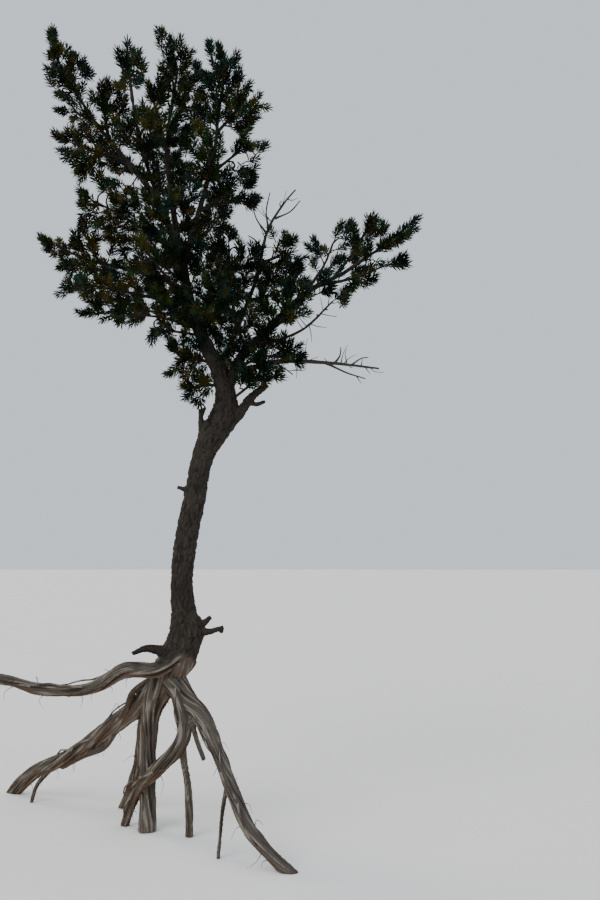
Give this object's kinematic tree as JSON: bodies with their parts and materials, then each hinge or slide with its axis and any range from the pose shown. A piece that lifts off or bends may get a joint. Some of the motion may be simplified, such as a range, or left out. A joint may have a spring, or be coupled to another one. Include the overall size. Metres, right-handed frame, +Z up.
{
  "type": "pine tree",
  "caption": "Wind-shaped pine standing on bared stilt roots, with a leaning bole, a forked uneven crown and dead limbs.",
  "frame": {"origin": "middle of the flat cut under the tap root, at ground level", "axes": "+Z up; +X to the viewer's right in the picture, along the long eastern bough; +Y away from the viewer"},
  "size_m": [4.023, 2.1367, 6.76],
  "materials": {
    "bark": "rough dark grey-brown bark",
    "bare_root": "weathered silver-grey bared root",
    "dead_wood": "dry grey dead wood",
    "needles": "deep green needles"
  },
  "bodies": {
    "root": {"trunk": "bark", "root_west": "bare_root", "root_west_foot": "bare_root", "root_brace": "bare_root", "root_drop": "bare_root", "root_loop": "bare_root", "root_east": "bare_root", "root_east_foot": "bare_root", "leader_west": "bark", "leader_centre": "bark", "leader_east": "bark", "leader_inner": "bark", "bough_west": "bark", "bough_crest": "bark", "bough_east": "bark", "dead_bough": "dead_wood", "dead_snag": "dead_wood", "dead_stub": "dead_wood", "west_top": "needles", "west_shoulder": "needles", "west_elbow": "needles", "west_inner": "needles", "west_back": "needles", "inner_top": "needles", "inner_front": "needles", "centre_top": "needles", "centre_east": "needles", "centre_west": "needles", "centre_back": "needles", "east_top": "needles", "east_shoulder": "needles", "east_elbow": "needles", "east_low": "needles", "east_front": "needles", "west_upper": "needles", "west_high": "needles", "west_mid": "needles", "west_low": "needles", "west_bottom": "needles", "heart": "needles", "front_high": "needles", "front_mid": "needles", "front_low": "needles", "back_high": "needles", "back_mid": "needles", "back_low": "needles", "back_west": "needles", "crest": "needles", "crest_back": "needles", "east_under": "needles", "low_plume": "needles", "low_tuft": "needles", "low_east": "needles", "east_tip": "needles", "east_upper": "needles", "east_lower": "needles", "east_fork": "needles", "low_left": "needles", "low_skirt": "needles", "low_hang": "needles"}
  },
  "joints": []
}
